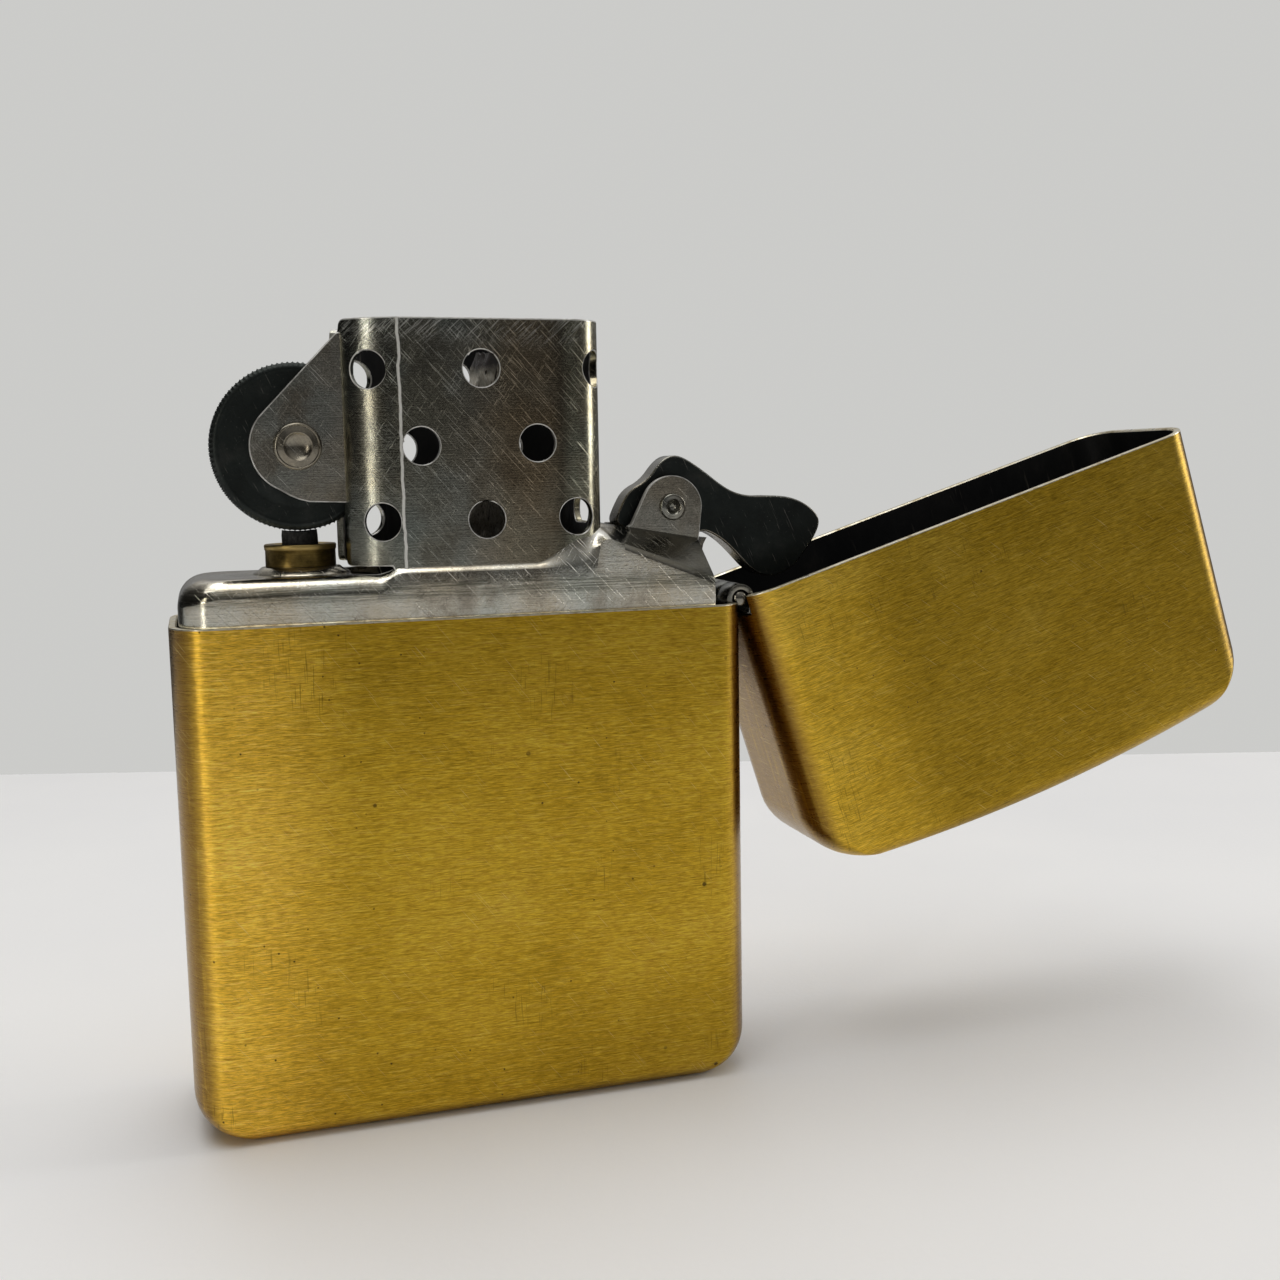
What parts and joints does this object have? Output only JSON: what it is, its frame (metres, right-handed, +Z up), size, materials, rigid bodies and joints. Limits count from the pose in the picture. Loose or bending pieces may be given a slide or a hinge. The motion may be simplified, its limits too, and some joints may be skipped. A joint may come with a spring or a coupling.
{
  "type": "pocket lighter",
  "caption": "Flip-top petrol pocket lighter: brass case with a hinged lid, a steel insert with a perforated chimney, a striker wheel over a sprung flint, a lid cam and a wick.",
  "frame": {"origin": "on the resting face under the middle of the case", "axes": "+Z up along the case, +X towards the lid hinge, -Y towards the front face"},
  "size_m": [0.0794, 0.0128, 0.0527],
  "materials": {
    "case_brass": "aged brass, fine horizontal brushing, small pits and scratches",
    "hinge_steel": "satin, dulled",
    "stainless": "polished to satin with fine wear and warm stains",
    "spring_steel": "satin",
    "tube_brass": "dull turned brass",
    "black_steel": "blackened steel, satin",
    "flint": "dull dark grey ferrocerium",
    "wick_cotton": "braided cotton, scorched at the tip",
    "packing_cotton": "loose cotton",
    "felt": "pressed felt"
  },
  "bodies": {
    "case": {"case_bottom": "case_brass", "hinge_leaf_lower": "hinge_steel", "hinge_pin": "hinge_steel", "insert_body": "stainless", "inner_plate": "stainless", "flint_tube": "tube_brass", "flint_tube_collar": "tube_brass", "flint_screw": "tube_brass", "flint_spring": "spring_steel", "striker_rivet": "stainless", "cam_rivet": "stainless", "cam_spring": "spring_steel", "cam_spring_rivet_1": "stainless", "cam_spring_rivet_2": "stainless", "wick": "wick_cotton", "packing_1": "packing_cotton", "packing_2": "packing_cotton", "packing_3": "packing_cotton", "packing_4": "packing_cotton", "packing_5": "packing_cotton", "felt_pad": "felt"},
    "lid": {"lid_shell": "case_brass", "hinge_leaf_upper": "hinge_steel"},
    "cam": {"cam_lever": "black_steel"},
    "striker": {"striker_wheel": "black_steel"},
    "flint": {"flint": "flint", "flint_spring_tip": "tube_brass"}
  },
  "joints": [
    {"name": "lid_hinge", "type": "hinge", "parent": "case", "child": "lid", "pos_m": [0.01885, 0, 0.03383], "axis": [0, -1, 0], "range_deg": [0, 162.4]},
    {"name": "cam_pivot", "type": "hinge", "parent": "case", "child": "cam", "pos_m": [0.01493, 0, 0.04021], "axis": [0, -1, 0], "range_deg": [0, 105.8]},
    {"name": "striker_spin", "type": "hinge", "parent": "case", "child": "striker", "pos_m": [-0.0106, 0, 0.0447], "axis": [0, -1, 0], "continuous": true},
    {"name": "flint_slide", "type": "slide", "parent": "case", "child": "flint", "axis": [0, 0, 1], "range_m": [-0.0012, 0], "stiffness_N_per_m": 200, "springref_m": 0.004, "deforming": ["flint_spring"]}
  ],
  "couplings": [
    {"joint": "cam_pivot", "follows": "lid_hinge", "ratio": 0.65}
  ]
}
